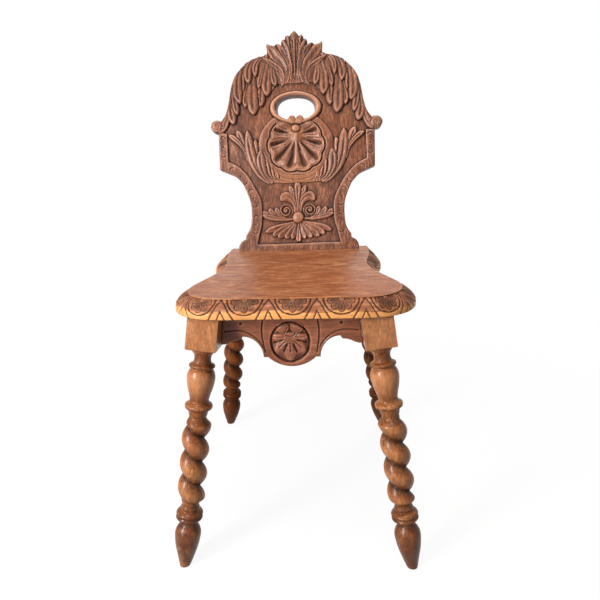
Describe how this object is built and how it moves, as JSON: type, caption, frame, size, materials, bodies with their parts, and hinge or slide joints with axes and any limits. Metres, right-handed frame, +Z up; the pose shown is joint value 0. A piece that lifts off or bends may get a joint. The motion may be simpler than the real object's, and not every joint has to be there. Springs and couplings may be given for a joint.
{
  "type": "carved wooden chair",
  "caption": "Carved wooden side chair with a pierced, relief-carved back board, a moulded waisted seat and splayed twist-turned legs.",
  "frame": {"origin": "on the floor under the middle of the chair's extents", "axes": "+Z up; the sitter faces -Y; +X is on the right in a view from the front"},
  "size_m": [0.4182, 0.5276, 0.9097],
  "materials": {
    "seat_oak": "worn waxed oak",
    "board_oak": "carved waxed oak",
    "leg_oak": "turned waxed oak",
    "frame_oak": "plain unfinished oak",
    "iron": "dull dark iron"
  },
  "bodies": {
    "root": {"seat_board": "seat_oak", "back_board": "board_oak", "front_left_leg": "leg_oak", "front_right_leg": "leg_oak", "rear_left_leg": "leg_oak", "rear_right_leg": "leg_oak", "front_apron": "leg_oak", "rear_rail": "frame_oak", "left_rail": "frame_oak", "right_rail": "frame_oak", "glue_block_front_left": "frame_oak", "glue_block_front_right": "frame_oak", "glue_block_rear_left": "frame_oak", "glue_block_rear_right": "frame_oak", "glue_block_side_left": "frame_oak", "glue_block_side_right": "frame_oak", "back_key_left": "frame_oak", "back_key_right": "frame_oak", "seat_screw_front_left": "iron", "seat_screw_front_right": "iron", "seat_screw_rear_left": "iron", "seat_screw_rear_right": "iron", "seat_screw_side_left": "iron", "seat_screw_side_right": "iron", "apron_nail_left": "iron", "apron_nail_right": "iron"}
  },
  "joints": []
}
